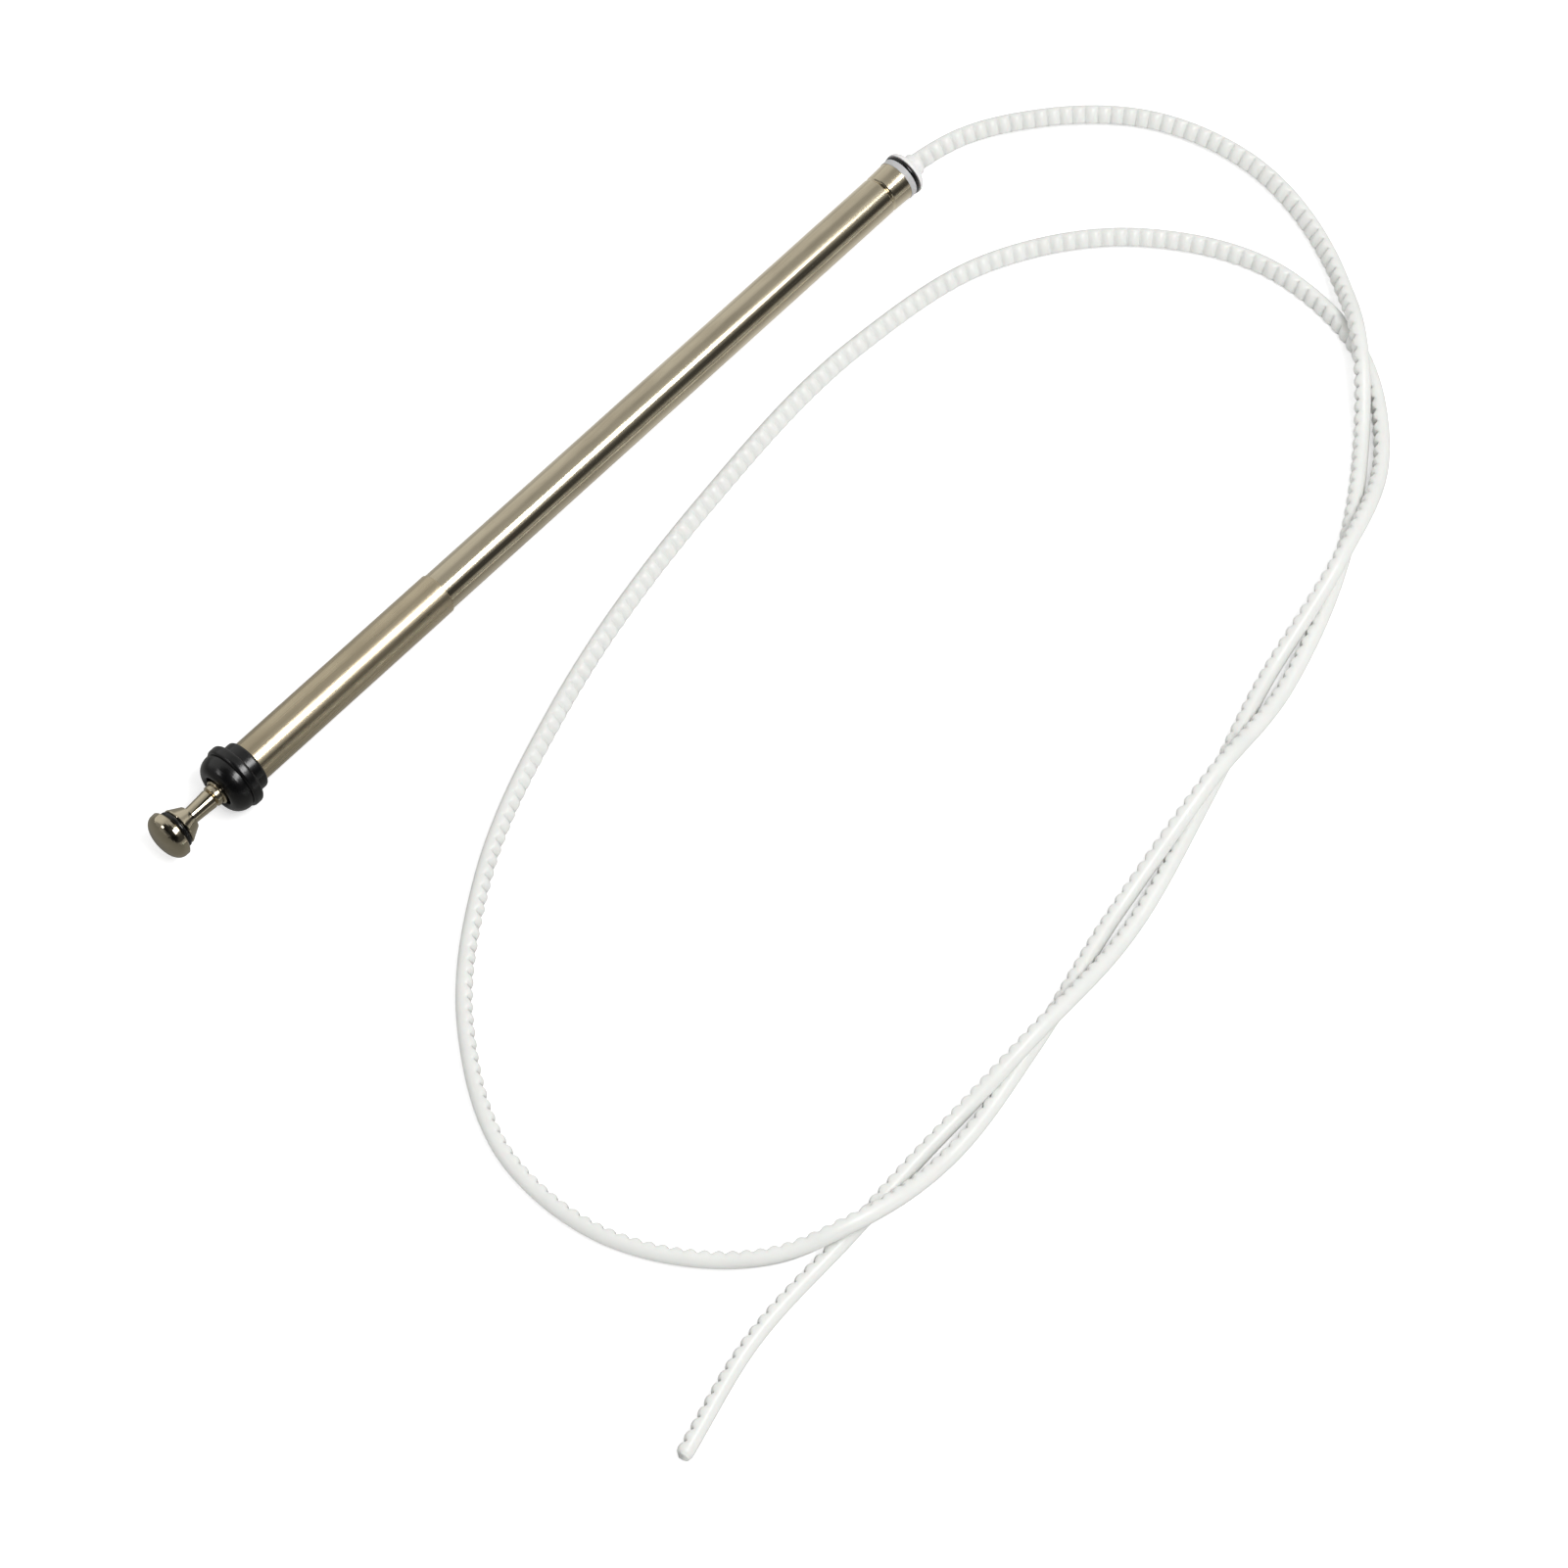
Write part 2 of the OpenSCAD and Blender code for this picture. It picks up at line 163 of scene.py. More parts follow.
# Half the side of the square table, in metres
TABLE_HALF = 3.0


class CableSizes(bpy.types.PropertyGroup):
    """Sizes of the toothed drive cable."""

    pitch: bpy.props.FloatProperty(
        name="Tooth pitch",
        description="Distance from tooth to tooth along the cable",
        default=TOOTH_PITCH,
        unit="LENGTH",
        precision=5,
    )
    tooth_depth: bpy.props.FloatProperty(
        name="Tooth depth",
        description="Depth of the valleys between the teeth",
        default=TOOTH_DEPTH,
        unit="LENGTH",
        precision=5,
    )
    breadth: bpy.props.FloatProperty(
        name="Breadth",
        description="Breadth of the cable across its teeth",
        default=CABLE_BREADTH,
        unit="LENGTH",
        precision=5,
    )
    thickness: bpy.props.FloatProperty(
        name="Thickness",
        description="Thickness of the cable from its back to the crests of its teeth",
        default=CABLE_THICKNESS,
        unit="LENGTH",
        precision=5,
    )


class FinishColours(bpy.types.PropertyGroup):
    """Colours of the mast's finishes."""

    nickel: bpy.props.FloatVectorProperty(
        name="Nickel",
        description="Colour of the polished tubes and the tip",
        subtype="COLOR",
        size=3,
        min=0.0,
        max=1.0,
        default=(0.78, 0.69, 0.52),
    )
    sleeve: bpy.props.FloatVectorProperty(
        name="Sleeve",
        description="Colour of the satin sleeve, a little warmer than the tubes",
        subtype="COLOR",
        size=3,
        min=0.0,
        max=1.0,
        default=(0.73, 0.625, 0.445),
    )
    brass: bpy.props.FloatVectorProperty(
        name="Brass",
        description="Colour of the feet and contact springs inside the mast",
        subtype="COLOR",
        size=3,
        min=0.0,
        max=1.0,
        default=(0.72, 0.52, 0.25),
    )
    rubber: bpy.props.FloatVectorProperty(
        name="Rubber",
        description="Colour of the seal and the O-rings",
        subtype="COLOR",
        size=3,
        min=0.0,
        max=1.0,
        default=(0.0015, 0.0015, 0.0018),
    )
    cable: bpy.props.FloatVectorProperty(
        name="Cable",
        description="Colour of the toothed cable",
        subtype="COLOR",
        size=3,
        min=0.0,
        max=1.0,
        default=(0.77, 0.778, 0.752),
    )
    plug: bpy.props.FloatVectorProperty(
        name="Base plug",
        description="Colour of the plug and the bush",
        subtype="COLOR",
        size=3,
        min=0.0,
        max=1.0,
        default=(0.82, 0.81, 0.80),
    )
    collar: bpy.props.FloatVectorProperty(
        name="Base collar",
        description="Colour of the thin collar under the tube",
        subtype="COLOR",
        size=3,
        min=0.0,
        max=1.0,
        default=(0.50, 0.50, 0.505),
    )


class StudioLevels(bpy.types.PropertyGroup):
    """Light levels of the studio."""

    key: bpy.props.FloatProperty(
        name="Key light",
        description="Power of the broad light beside the camera",
        default=14.0,
        min=0.0,
        unit="POWER",
    )
    side: bpy.props.FloatProperty(
        name="Side light",
        description="Power of the small light past the tip",
        default=2.5,
        min=0.0,
        unit="POWER",
    )
    room: bpy.props.FloatProperty(
        name="Room",
        description="Strength of the plain light from all round",
        default=0.66,
        min=0.0,
    )
    table_glow: bpy.props.FloatProperty(
        name="Table glow",
        description="What the white table adds to its lit colour, so that it shows as white",
        default=0.44,
        min=0.0,
    )


class Wiring:
    """Adds nodes to a tree and joins them by name."""

    def __init__(self, tree):
        self.tree = tree

    def add(self, kind, values=None, **settings):
        node = self.tree.nodes.new(kind)
        for name, value in settings.items():
            setattr(node, name, value)
        for socket, value in (values or {}).items():
            self.set(node, socket, value)
        return node

    def set(self, node, socket, value):
        if isinstance(value, bpy.types.NodeSocket):
            self.tree.links.new(value, node.inputs[socket])
        else:
            node.inputs[socket].default_value = value

    def maths(self, operation, *values):
        node = self.add("ShaderNodeMath", operation=operation)
        for i, value in enumerate(values):
            self.set(node, i, value)
        return node.outputs[0]

    def vector(self, operation, *values):
        node = self.add("ShaderNodeVectorMath", operation=operation)
        for i, value in enumerate(values):
            self.set(node, i if operation != "SCALE" or i == 0 else "Scale", value)
        return node.outputs["Value" if operation in ("DOT_PRODUCT", "LENGTH") else "Vector"]

    def ramp(self, factor, stops, interpolation="LINEAR"):
        node = self.add("ShaderNodeValToRGB", {"Fac": factor})
        node.color_ramp.interpolation = interpolation
        points = node.color_ramp.elements
        while len(points) < len(stops):
            points.new(0.5)
        for point, (place, colour) in zip(points, stops):
            point.position = place
            point.color = (*colour, 1.0) if len(colour) == 3 else colour
        return node.outputs["Color"]

    def remap(self, value, low, high, to_low, to_high):
        node = self.add("ShaderNodeMapRange", clamp=True)
        for socket, number in zip(
            ("Value", "From Min", "From Max", "To Min", "To Max"),
            (value, low, high, to_low, to_high),
        ):
            self.set(node, socket, number)
        return node.outputs["Result"]

    def mix(self, factor, first, second):
        """Mixes two colours. The mix node has its factor at socket 0 and its colours at 6 and 7."""
        node = self.add("ShaderNodeMix", data_type="RGBA")
        for socket, value in ((0, factor), (6, first), (7, second)):
            self.set(node, socket, value)
        return node.outputs[2]


def group_tree(name, kind, inputs, outputs):
    """A node group with its named sockets, and its input and output nodes."""
    tree = bpy.data.node_groups.new(name, kind)
    for label, socket_type, default in inputs:
        socket = tree.interface.new_socket(label, in_out="INPUT", socket_type=socket_type)
        if default is not None:
            socket.default_value = default
    for label, socket_type in outputs:
        tree.interface.new_socket(label, in_out="OUTPUT", socket_type=socket_type)
    return tree, tree.nodes.new("NodeGroupInput"), tree.nodes.new("NodeGroupOutput")


# ---- Effects that the finishes share


def drawn_streaks():
    """Fine lines along the mast, as drawing and polishing leave on a tube, with a few duller patches."""
    tree, given, result = group_tree(
        "drawn_streaks",
        "ShaderNodeTree",
        (
            ("Colour", "NodeSocketColor", (0.8, 0.8, 0.8, 1.0)),
            ("Low Roughness", "NodeSocketFloat", 0.1),
            ("High Roughness", "NodeSocketFloat", 0.3),
            ("Tarnish", "NodeSocketFloat", 0.12),
            ("Line Height", "NodeSocketFloat", 0.00001),
        ),
        (("Colour", "NodeSocketColor"), ("Roughness", "NodeSocketFloat"), ("Normal", "NodeSocketVector")),
    )
    w = Wiring(tree)
    place = w.add("ShaderNodeTexCoord").outputs["Object"]
    along = w.add("ShaderNodeMapping", {"Vector": place, "Scale": (9.0, 1500.0, 1500.0)})
    lines = w.add("ShaderNodeTexNoise", {"Vector": along.outputs[0], "Scale": 1.0, "Detail": 4.0})
    patch_map = w.add("ShaderNodeMapping", {"Vector": place, "Scale": (60.0, 260.0, 260.0)})
    patches = w.add("ShaderNodeTexNoise", {"Vector": patch_map.outputs[0], "Scale": 1.0, "Detail": 5.0})
    line_mask = w.remap(lines.outputs["Fac"], 0.35, 0.68, 0.0, 1.0)
    patch_mask = w.remap(patches.outputs["Fac"], 0.42, 0.72, 0.0, 1.0)
    worn = w.maths("MULTIPLY", patch_mask, given.outputs["Tarnish"])
    dark = w.mix(worn, given.outputs["Colour"], (0.34, 0.28, 0.19, 1.0))
    spread = w.maths("SUBTRACT", given.outputs["High Roughness"], given.outputs["Low Roughness"])
    share = w.maths("ADD", w.maths("MULTIPLY", line_mask, 0.6), w.maths("MULTIPLY", patch_mask, 0.4))
    rough = w.maths("ADD", given.outputs["Low Roughness"], w.maths("MULTIPLY", spread, share))
    bump = w.add("ShaderNodeBump", {"Strength": 1.0, "Distance": 1.0})
    w.set(bump, "Height", w.maths("MULTIPLY", line_mask, given.outputs["Line Height"]))
    w.set(result, "Colour", dark)
    w.set(result, "Roughness", rough)
    w.set(result, "Normal", bump.outputs["Normal"])
    return tree


def moulded_skin():
    """The faint mottle and orange peel of moulded rubber and plastic, with a little dust."""
    tree, given, result = group_tree(
        "moulded_skin",
        "ShaderNodeTree",
        (
            ("Colour", "NodeSocketColor", (0.8, 0.8, 0.8, 1.0)),
            ("Mottle", "NodeSocketColor", (0.7, 0.7, 0.7, 1.0)),
            ("Grain Size", "NodeSocketFloat", 900.0),
            ("Low Roughness", "NodeSocketFloat", 0.3),
            ("High Roughness", "NodeSocketFloat", 0.5),
            ("Peel Height", "NodeSocketFloat", 0.00002),
        ),
        (("Colour", "NodeSocketColor"), ("Roughness", "NodeSocketFloat"), ("Normal", "NodeSocketVector")),
    )
    w = Wiring(tree)
    place = w.add("ShaderNodeTexCoord").outputs["Object"]
    grain_size = given.outputs["Grain Size"]
    grain = w.add("ShaderNodeTexNoise", {"Vector": place, "Scale": grain_size, "Detail": 3.0})
    cloud = w.add("ShaderNodeTexNoise", {"Vector": place, "Scale": 120.0, "Detail": 3.0})
    cloud_mask = w.remap(cloud.outputs["Fac"], 0.35, 0.7, 0.0, 1.0)
    grain_mask = w.remap(grain.outputs["Fac"], 0.35, 0.7, 0.0, 1.0)
    w.set(result, "Colour", w.mix(cloud_mask, given.outputs["Colour"], given.outputs["Mottle"]))
    spread = w.maths("SUBTRACT", given.outputs["High Roughness"], given.outputs["Low Roughness"])
    share = w.maths("ADD", w.maths("MULTIPLY", grain_mask, 0.5), w.maths("MULTIPLY", cloud_mask, 0.5))
    rough = w.maths("ADD", given.outputs["Low Roughness"], w.maths("MULTIPLY", spread, share))
    w.set(result, "Roughness", rough)
    bump = w.add("ShaderNodeBump", {"Strength": 1.0, "Distance": 1.0})
    w.set(bump, "Height", w.maths("MULTIPLY", grain_mask, given.outputs["Peel Height"]))
    w.set(result, "Normal", bump.outputs["Normal"])
    return tree


def shared_group(name, maker):
    """The node group of that name, made on first use."""
    return bpy.data.node_groups.get(name) or maker()


def finish_material(name, group, values, **constants):
    """A material whose colour, roughness and normal come from a shared group."""
    material = bpy.data.materials.new(name)
    material.use_nodes = True
    w = Wiring(material.node_tree)
    shader = material.node_tree.nodes["Principled BSDF"]
    effect = w.add("ShaderNodeGroup", node_tree=group)
    for socket, value in values.items():
        w.set(effect, socket, value)
    w.set(shader, "Base Color", effect.outputs["Colour"])
    w.set(shader, "Roughness", effect.outputs["Roughness"])
    w.set(shader, "Normal", effect.outputs["Normal"])
    for socket, value in constants.items():
        w.set(shader, socket.replace("_", " "), value)
    material.diffuse_color = values["Colour"]
    return material


def opaque(colour):
    """A colour with its alpha."""
    return (*colour, 1.0)


def nickel_finish(colour, name, low, high, tarnish):
    """Nickel in a colour, between two roughnesses, with a share of tarnish."""
    group = shared_group("drawn_streaks", drawn_streaks)
    values = {
        "Colour": opaque(colour),
        "Low Roughness": low,
        "High Roughness": high,
        "Tarnish": tarnish,
        "Line Height": 0.0000015,
    }
    return finish_material(name, group, values, Metallic=1.0)


def coat_nodes(names, material):
    """Gives CAD nodes a finish."""
    for name in names:
        slots = NODES[name].data.materials
        slots.clear()
        slots.append(material)


# ---- The cable


def route_line(steps):
    """Points along the cable in metres, each with the lean of its teeth. It passes through every route point,
    and its height is level at each top and bottom, so that no stretch dips into the table."""
    points = [Vector(p[:3]) for p in ROUTE]
    leans = [p[3] for p in ROUTE]
    last = len(points) - 1
    chords = [(points[i + 1] - points[i]).length for i in range(last)]
    slopes = [(points[i + 1] - points[i]) / chords[i] for i in range(last)]
    headings = [slopes[0]]
    for i in range(1, last):
        a, b = slopes[i - 1], slopes[i]
        v = (a * chords[i] + b * chords[i - 1]) / (chords[i - 1] + chords[i])
        v.z = 0.0 if a.z * b.z <= 0 else 2 * a.z * b.z / (a.z + b.z)
        headings.append(v)
    headings.append(slopes[-1])
    line = []
    for i in range(last):
        for k in range(steps):
            u = k / steps
            u2, u3 = u * u, u * u * u
            p = (
                points[i] * (2 * u3 - 3 * u2 + 1)
                + headings[i] * chords[i] * (u3 - 2 * u2 + u)
                + points[i + 1] * (3 * u2 - 2 * u3)
                + headings[i + 1] * chords[i] * (u3 - u2)
            )
            lean = leans[i] + (leans[i + 1] - leans[i]) * (3 * u2 - 2 * u3)
            line.append((p * MM, math.radians(lean)))
    line.append((points[-1] * MM, math.radians(leans[-1])))
    return line


def cable_guide(line):
    """A plain line of edges that holds, at each point, the way that the teeth face."""
    mesh = bpy.data.meshes.new("cable_guide")
    points = [p for p, _ in line]
    mesh.from_pydata(points, [(i, i + 1) for i in range(len(points) - 1)], [])
    facing = mesh.attributes.new("tooth_way", "FLOAT_VECTOR", "POINT")
    for i, (p, lean) in enumerate(line):
        ahead = points[min(i + 1, len(points) - 1)] - points[max(i - 1, 0)]
        right = ahead.cross(Vector((0, 0, 1))).normalized()
        up = right.cross(ahead).normalized()
        facing.data[i].vector = right * math.cos(lean) + up * math.sin(lean)
    guide = bpy.data.objects.new("toothed_cable", mesh)
    bpy.context.scene.collection.objects.link(guide)
    return guide


def toothed_sweep():
    """Geometry nodes that sweep the cable's section along a line and cut its teeth.

    The section is a rounded D whose flat face has the teeth. Every ring of the sweep knows how far along the
    cable it is, which gives the depth of the valley there."""
    tree, given, result = group_tree(
        "toothed_sweep",
        "GeometryNodeTree",
        (
            ("Geometry", "NodeSocketGeometry", None),
            ("Pitch", "NodeSocketFloat", TOOTH_PITCH),
            ("Tooth Depth", "NodeSocketFloat", TOOTH_DEPTH),
            ("Breadth", "NodeSocketFloat", CABLE_BREADTH),
            ("Thickness", "NodeSocketFloat", CABLE_THICKNESS),
            ("Rings per Tooth", "NodeSocketFloat", 10.0),
            ("Section Points", "NodeSocketInt", 16),
            ("Material", "NodeSocketMaterial", None),
        ),
        (("Geometry", "NodeSocketGeometry"),),
    )
    w = Wiring(tree)
    line = w.add("GeometryNodeMeshToCurve", {"Mesh": given.outputs["Geometry"]}).outputs["Curve"]
    length = w.add("GeometryNodeCurveLength", {"Curve": line}).outputs["Length"]
    teeth = w.maths("DIVIDE", length, given.outputs["Pitch"])
    rings = w.maths("ROUND", w.maths("MULTIPLY", teeth, given.outputs["Rings per Tooth"]))
    path = w.add("GeometryNodeResampleCurve", {"Curve": line}, mode="COUNT")
    w.set(path, "Count", rings)

    def kept(geometry, values):
        """Stores named values on the points of a geometry, so that they are there after the sweep."""
        for name, data_type, value in values:
            node = w.add("GeometryNodeStoreNamedAttribute", data_type=data_type, domain="POINT")
            w.set(node, "Geometry", geometry)
            w.set(node, "Name", name)
            w.set(node, "Value", value)
            geometry = node.outputs["Geometry"]
        return geometry

    def named(name, data_type):
        """Reads a value that was stored by name."""
        node = w.add("GeometryNodeInputNamedAttribute", {"Name": name}, data_type=data_type)
        return node.outputs["Attribute"]

    spline = w.add("GeometryNodeSplineParameter")
    rail = kept(
        path.outputs["Curve"],
        (
            ("rail_place", "FLOAT_VECTOR", w.add("GeometryNodeInputPosition").outputs[0]),
            ("rail_ahead", "FLOAT_VECTOR", w.add("GeometryNodeInputTangent").outputs[0]),
            ("rail_run", "FLOAT", spline.outputs["Length"]),
        ),
    )
    ring = w.add(
        "GeometryNodeCurvePrimitiveCircle",
        {"Resolution": given.outputs["Section Points"], "Radius": 1.0},
        mode="RADIUS",
    ).outputs["Curve"]
    section = kept(ring, (("section_place", "FLOAT_VECTOR", w.add("GeometryNodeInputPosition").outputs[0]),))
    sweep = w.add("GeometryNodeCurveToMesh", {"Curve": rail, "Profile Curve": section})
    sweep.inputs["Fill Caps"].default_value = True

    ahead = w.vector("NORMALIZE", named("rail_ahead", "FLOAT_VECTOR"))
    facing = named("tooth_way", "FLOAT_VECTOR")
    along = w.vector("SCALE", ahead, w.vector("DOT_PRODUCT", facing, ahead))
    outward = w.vector("NORMALIZE", w.vector("SUBTRACT", facing, along))
    across = w.vector("CROSS_PRODUCT", ahead, outward)
    spot = w.add("ShaderNodeSeparateXYZ", {"Vector": named("section_place", "FLOAT_VECTOR")})
    side, height = spot.outputs["X"], spot.outputs["Y"]

    # The toothed face is flattened: the circle's height is pressed toward the crest line above its middle
    raised = w.maths("MAXIMUM", height, 0.0)
    flat = w.maths("POWER", raised, FACE_POWER)
    rounded = w.maths("ADD", flat, w.maths("MINIMUM", height, 0.0))
    run = named("rail_run", "FLOAT")
    turn = w.maths("MULTIPLY", w.maths("DIVIDE", run, given.outputs["Pitch"]), math.pi)
    wave = w.maths("ABSOLUTE", w.maths("SINE", turn))
    valley = w.maths("SUBTRACT", 1.0, w.maths("POWER", wave, VALLEY_POWER))
    on_face = w.remap(height, VALLEY_START, VALLEY_FULL, 0.0, 1.0)
    depth = w.maths("MULTIPLY", valley, on_face)
    cut = w.maths("MULTIPLY", depth, given.outputs["Tooth Depth"])
    half_thickness = w.maths("MULTIPLY", given.outputs["Thickness"], 0.5)
    tall = w.maths("SUBTRACT", w.maths("MULTIPLY", rounded, half_thickness), cut)
    wide = w.maths("MULTIPLY", side, w.maths("MULTIPLY", given.outputs["Breadth"], 0.5))

    # The cut ends are a little rounded
    nearest = w.maths("MINIMUM", run, w.maths("SUBTRACT", length, run))
    ends = w.remap(nearest, 0.0, END_RUN, END_SHARE, 1.0)
    moved = w.vector(
        "ADD",
        named("rail_place", "FLOAT_VECTOR"),
        w.vector(
            "ADD",
            w.vector("SCALE", outward, w.maths("MULTIPLY", tall, ends)),
            w.vector("SCALE", across, w.maths("MULTIPLY", wide, ends)),
        ),
    )
    # The depth of each valley is kept for the material, which paints shade into the valleys with it
    marked = kept(sweep.outputs["Mesh"], (("tooth_valley", "FLOAT", depth),))
    shaped = w.add("GeometryNodeSetPosition", {"Geometry": marked, "Position": moved})
    smooth = w.add("GeometryNodeSetShadeSmooth", {"Geometry": shaped.outputs["Geometry"]})
    smooth.inputs["Shade Smooth"].default_value = True
    real = w.add("GeometryNodeRealizeInstances", {"Geometry": smooth.outputs["Geometry"]})
    coated = w.add("GeometryNodeSetMaterial", {"Geometry": real.outputs["Geometry"]})
    w.set(coated, "Material", given.outputs["Material"])
    w.set(result, "Geometry", coated.outputs["Geometry"])
    return tree


def set_input(modifier, label, value):
    """Sets a modifier's input by its socket's identifier."""
    for item in modifier.node_group.interface.items_tree:
        if item.item_type == "SOCKET" and item.in_out == "INPUT" and item.name == label:
            modifier[item.identifier] = value
            return
    raise RuntimeError(f"the cable's tree has no input named {label}")


def made_plain(obj):
    """Gives the object what its modifiers make as its own plain mesh."""
    depsgraph = bpy.context.evaluated_depsgraph_get()
    mesh = bpy.data.meshes.new_from_object(obj.evaluated_get(depsgraph))
    obj.modifiers.clear()
    obj.data = mesh


def paint_valley_shade(material):
    """Paints shade into the valleys between the teeth where the cable is seen edge-on: the cable's colour
    turns toward dark grey in the deep valleys at a grazing view.
    """
    w = Wiring(material.node_tree)
    shader = material.node_tree.nodes["Principled BSDF"]
    skin = shader.inputs["Base Color"].links[0].from_socket
    valley = w.add("ShaderNodeAttribute", attribute_name="tooth_valley").outputs["Fac"]
    edge_on = w.add("ShaderNodeLayerWeight", {"Blend": 0.5}).outputs["Facing"]
    by_depth = w.remap(valley, 0.3, 0.7, 0.0, 0.9)
    by_angle = w.remap(edge_on, 0.5, 0.85, 0.0, 0.8)
    # Painted shade: this share of the cable's colour becomes dark grey, in deep valleys seen at a grazing
    # angle
    dark = w.maths("MULTIPLY", by_depth, by_angle)
    w.set(shader, "Base Color", w.mix(dark, skin, (0.10, 0.095, 0.09, 1.0)))


# ---- Operators


class AERIAL_OT_view(bpy.types.Operator):
    """Stands the camera where the photograph was taken"""

    bl_idname = "aerial.view"
    bl_label = "Camera"

    def execute(self, context):
        camera = bpy.data.objects.new("camera", bpy.data.cameras.new("camera"))
        camera.data.sensor_width = 36.0
        camera.data.lens = CAMERA_LENS
        camera.data.clip_end = 50.0
        camera.location = CAMERA_PLACE
        way = Vector(CAMERA_TARGET) - camera.location
        camera.rotation_euler = way.to_track_quat("-Z", "Y").to_euler()
        context.scene.collection.objects.link(camera)
        context.scene.camera = camera
        return {"FINISHED"}


class AERIAL_OT_drive_cable(bpy.types.Operator):
    """Makes the toothed drive cable along its route"""

    bl_idname = "aerial.drive_cable"
    bl_label = "Drive cable"

    def execute(self, context):
        sizes = context.scene.aerial_cable
        colours = context.scene.aerial_colours
        nylon = finish_material(
            "cable_nylon",
            shared_group("moulded_skin", moulded_skin),
            {
                "Colour": opaque(colours.cable),
                "Mottle": opaque([c * 0.96 for c in colours.cable]),
                "Grain Size": 1400.0,
                "Low Roughness": 0.28,
                "High Roughness": 0.4,
                "Peel Height": 0.000006,
            },
            Metallic=0.0,
            Subsurface_Weight=0.06,
            Subsurface_Scale=0.0015,
        )
        # Painted shade goes into the valleys between the teeth
        paint_valley_shade(nylon)
        line = route_line(LEG_STEPS)
        cable = cable_guide(line)
        sweep = cable.modifiers.new("toothed_sweep", "NODES")
        sweep.node_group = toothed_sweep()
        for label, value in (
            ("Pitch", sizes.pitch),
            ("Tooth Depth", sizes.tooth_depth),
            ("Breadth", sizes.breadth),
            ("Thickness", sizes.thickness),
            ("Material", nylon),
        ):
            set_input(sweep, label, value)
        made_plain(cable)
        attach(cable, "outer_tube")
        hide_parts("drive_cable")
        return {"FINISHED"}


class AERIAL_OT_nickel(bpy.types.Operator):
    """Finishes the tubes, the rod and the tip in polished nickel"""

    bl_idname = "aerial.nickel"
    bl_label = "Nickel tubes and tip"

    def execute(self, context):
        colours = context.scene.aerial_colours
        coat_nodes(NICKEL_TUBES, nickel_finish(colours.nickel, "nickel_tube", 0.10, 0.24, 0.35))
        coat_nodes(("front_sleeve",), nickel_finish(colours.sleeve, "nickel_sleeve", 0.24, 0.36, 0.35))
        coat_nodes(NICKEL_TIP, nickel_finish(colours.nickel, "nickel_tip", 0.05, 0.14, 0.2))
        return {"FINISHED"}


class AERIAL_OT_works(bpy.types.Operator):
    """Finishes the feet, the contact springs and the cable's anchor in brass"""

    bl_idname = "aerial.works"
    bl_label = "Brass works"

    def execute(self, context):
        colours = context.scene.aerial_colours
        brass = finish_material(
            "brass",
            shared_group("drawn_streaks", drawn_streaks),
            {
                "Colour": opaque(colours.brass),
                "Low Roughness": 0.22,
                "High Roughness": 0.42,
                "Tarnish": 0.4,
                "Line Height": 0.000004,
            },
            Metallic=1.0,
        )
        coat_nodes(BRASS_WORKS, brass)
        return {"FINISHED"}


class AERIAL_OT_rubber(bpy.types.Operator):
    """Finishes the seal and the O-rings in black rubber"""

    bl_idname = "aerial.rubber"
    bl_label = "Rubber seals"

    def execute(self, context):
        colours = context.scene.aerial_colours
        group = shared_group("moulded_skin", moulded_skin)
        values = {
            "Colour": opaque(colours.rubber),
            "Mottle": opaque([c * 1.7 + 0.001 for c in colours.rubber]),
            "Grain Size": 1600.0,
            "Low Roughness": 0.2,
            "High Roughness": 0.28,
            "Peel Height": 0.000006,
        }
        gloss = {"Metallic": 0.0, "Specular_IOR_Level": 0.7}
        coat_nodes(("seal_boot",), finish_material("seal_rubber", group, values, **gloss))
        values.update({"Low Roughness": 0.2, "High Roughness": 0.3, "Peel Height": 0.000004})
        coat_nodes(RUBBER_RINGS, finish_material("ring_rubber", group, values, **gloss))
        return {"FINISHED"}


class AERIAL_OT_base(bpy.types.Operator):
    """Finishes the base plug, its collar and the guide bush in white plastic"""

    bl_idname = "aerial.base"
    bl_label = "White plastic"

    def execute(self, context):
        colours = context.scene.aerial_colours
        group = shared_group("moulded_skin", moulded_skin)
        for name, nodes, colour in (
            ("plug_plastic", ("base_plug", "guide_bush"), colours.plug),
            ("collar_plastic", ("base_collar",), colours.collar),
        ):
            values = {
                "Colour": opaque(colour),
                "Mottle": opaque([c * 0.95 for c in colour]),
                "Grain Size": 1100.0,
                "Low Roughness": 0.24,
                "High Roughness": 0.38,
                "Peel Height": 0.000006,
            }
            material = finish_material(
                name,
                group,
                values,
                Metallic=0.0,
                Subsurface_Weight=0.05,
                Subsurface_Scale=0.0015,
            )
            coat_nodes(nodes, material)
        return {"FINISHED"}


